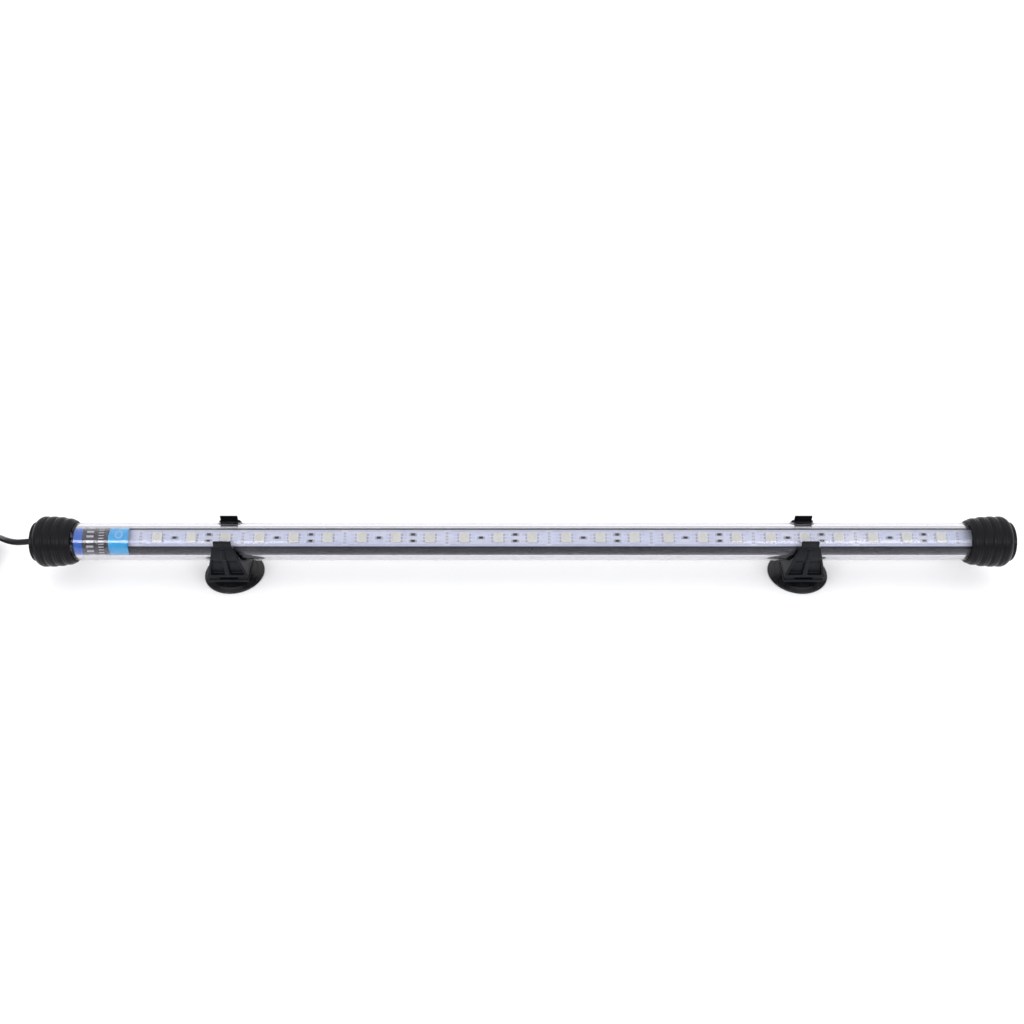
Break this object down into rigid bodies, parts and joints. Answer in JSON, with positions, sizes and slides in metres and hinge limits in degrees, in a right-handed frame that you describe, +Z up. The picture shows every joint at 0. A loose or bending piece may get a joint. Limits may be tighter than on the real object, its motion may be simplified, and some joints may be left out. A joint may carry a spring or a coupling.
{
  "type": "aquarium tube light",
  "caption": "Submersible LED tube light: a clear sealed tube with ribbed rubber end caps and an LED strip, held in snap clips on suction cups, with a thin lead and plug.",
  "frame": {"origin": "middle of the light between its two cap tips and between its front and back, on the surface that the suction cups stand on", "axes": "+X along the tube, away from the lead; +Y to the back; +Z up"},
  "size_m": [0.5528, 0.0423, 0.0343],
  "materials": {
    "clear_tube": "clear acrylic, polished",
    "cap_rubber": "satin moulded rubber",
    "seal_rubber": "matte silicone",
    "gasket_rubber": "matte rubber",
    "bar": "dark anodised extrusion",
    "tape": "matte",
    "board": "white solder mask",
    "led_package": "moulded white plastic",
    "led_window": "clear resin over chips",
    "resistor": "glazed",
    "solder": "tinned",
    "lead_jacket": "satin jacket",
    "shrink_sleeve": "matte",
    "red_wire": "satin insulation",
    "black_wire": "satin insulation",
    "label": "printed film",
    "clip_plastic": "satin moulded plastic",
    "cup_rubber": "glossy soft rubber",
    "coil_tie": "matte band",
    "plug_plastic": "satin moulded plastic",
    "plug_metal": "nickel plated"
  },
  "bodies": {
    "light": {"clear_tube": "clear_tube", "left_end_cap": "cap_rubber", "right_end_cap": "cap_rubber", "left_tube_plug": "seal_rubber", "right_tube_plug": "seal_rubber", "left_gasket": "gasket_rubber", "right_gasket": "gasket_rubber", "led_bar": "bar", "adhesive_tape": "tape", "led_board": "board", "led_packages": "led_package", "led_windows": "led_window", "resistors": "resistor", "solder_pads": "solder", "supply_cable_end": "lead_jacket", "shrink_sleeve": "shrink_sleeve", "red_wire": "red_wire", "black_wire": "black_wire", "label": "label", "cable_grommet": "gasket_rubber", "lead": "lead_jacket", "lead_coil": "lead_jacket", "lead_tail": "lead_jacket", "coil_tie": "coil_tie", "plug_body": "plug_plastic", "plug_barrel": "plug_metal", "plug_tip": "plug_plastic"},
    "left_clip": {"left_clip": "clip_plastic"},
    "right_clip": {"right_clip": "clip_plastic"},
    "left_cup": {"left_suction_cup": "cup_rubber"},
    "right_cup": {"right_suction_cup": "cup_rubber"}
  },
  "joints": [
    {"name": "clip_turn", "type": "hinge", "parent": "light", "child": "left_clip", "pos_m": [-0.1455, 0, 0.0218], "axis": [1, 0, 0], "continuous": true},
    {"name": "clip_slide", "type": "slide", "parent": "left_clip", "child": "right_clip", "axis": [1, 0, 0], "range_m": [-0.24, 0.06]},
    {"name": "left_cup_swivel", "type": "hinge", "parent": "left_clip", "child": "left_cup", "pos_m": [-0.1455, 0, 0.005], "axis": [0, 0, 1], "continuous": true},
    {"name": "right_cup_swivel", "type": "hinge", "parent": "right_clip", "child": "right_cup", "pos_m": [0.139, 0, 0.005], "axis": [0, 0, 1], "continuous": true}
  ]
}
